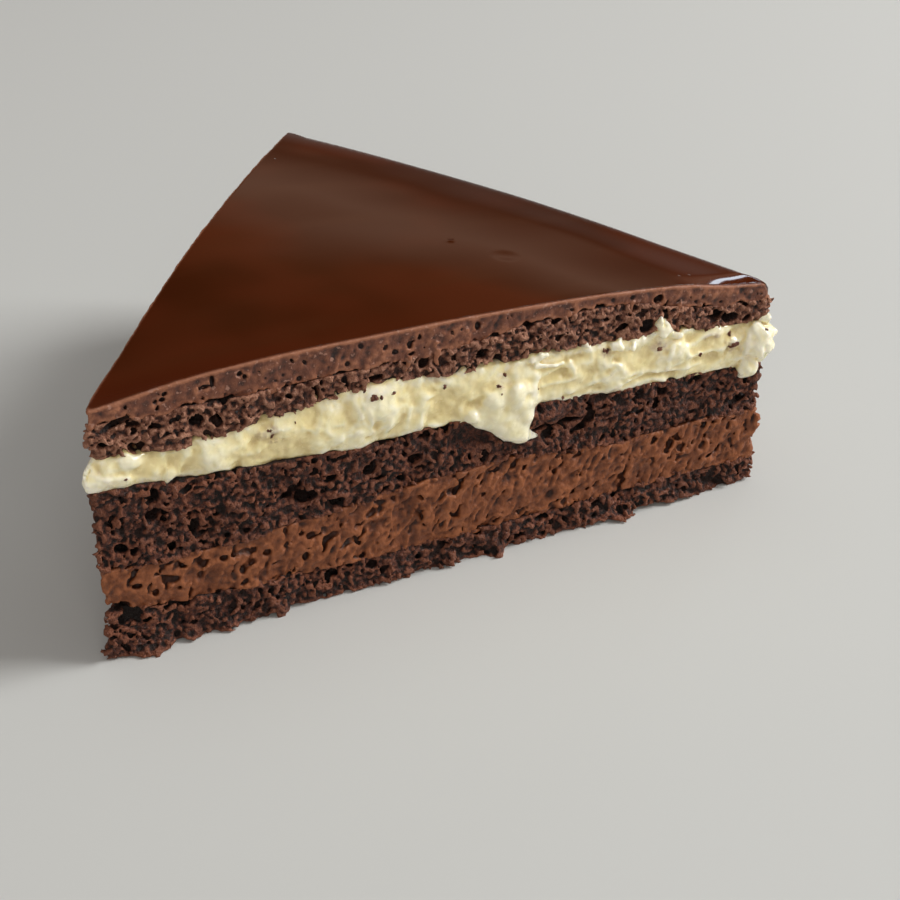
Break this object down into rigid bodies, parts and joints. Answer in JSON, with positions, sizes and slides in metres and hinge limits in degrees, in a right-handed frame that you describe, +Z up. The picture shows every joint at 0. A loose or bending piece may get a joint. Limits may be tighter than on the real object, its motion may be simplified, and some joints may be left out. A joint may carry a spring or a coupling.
{
  "type": "chocolate truffle cake slice",
  "caption": "Wedge cut from a round layered chocolate truffle cake: dark sponge, milk chocolate mousse, pale cream with a hanging drip, and a poured glossy ganache top",
  "frame": {"origin": "middle of the flat base, where the slice rests", "axes": "+X along the front cut from the pointed tip towards the rim, +Y towards the second cut, +Z up"},
  "size_m": [0.1019, 0.0825, 0.0389],
  "materials": {
    "sponge": "matte, porous, torn dark chocolate sponge crumb",
    "mousse": "soft satin milk chocolate mousse with fine pits and drag marks from the knife",
    "cream": "moist ivory cream, smeared and lumpy, with small wet glints",
    "ganache": "mirror-smooth dark red-brown poured glaze over a matte brown cut edge"
  },
  "bodies": {
    "root": {"sponge_bottom": "sponge", "mousse_layer": "mousse", "sponge_middle": "sponge", "cream_layer": "cream", "sponge_top": "sponge", "ganache_top": "ganache"}
  },
  "joints": []
}
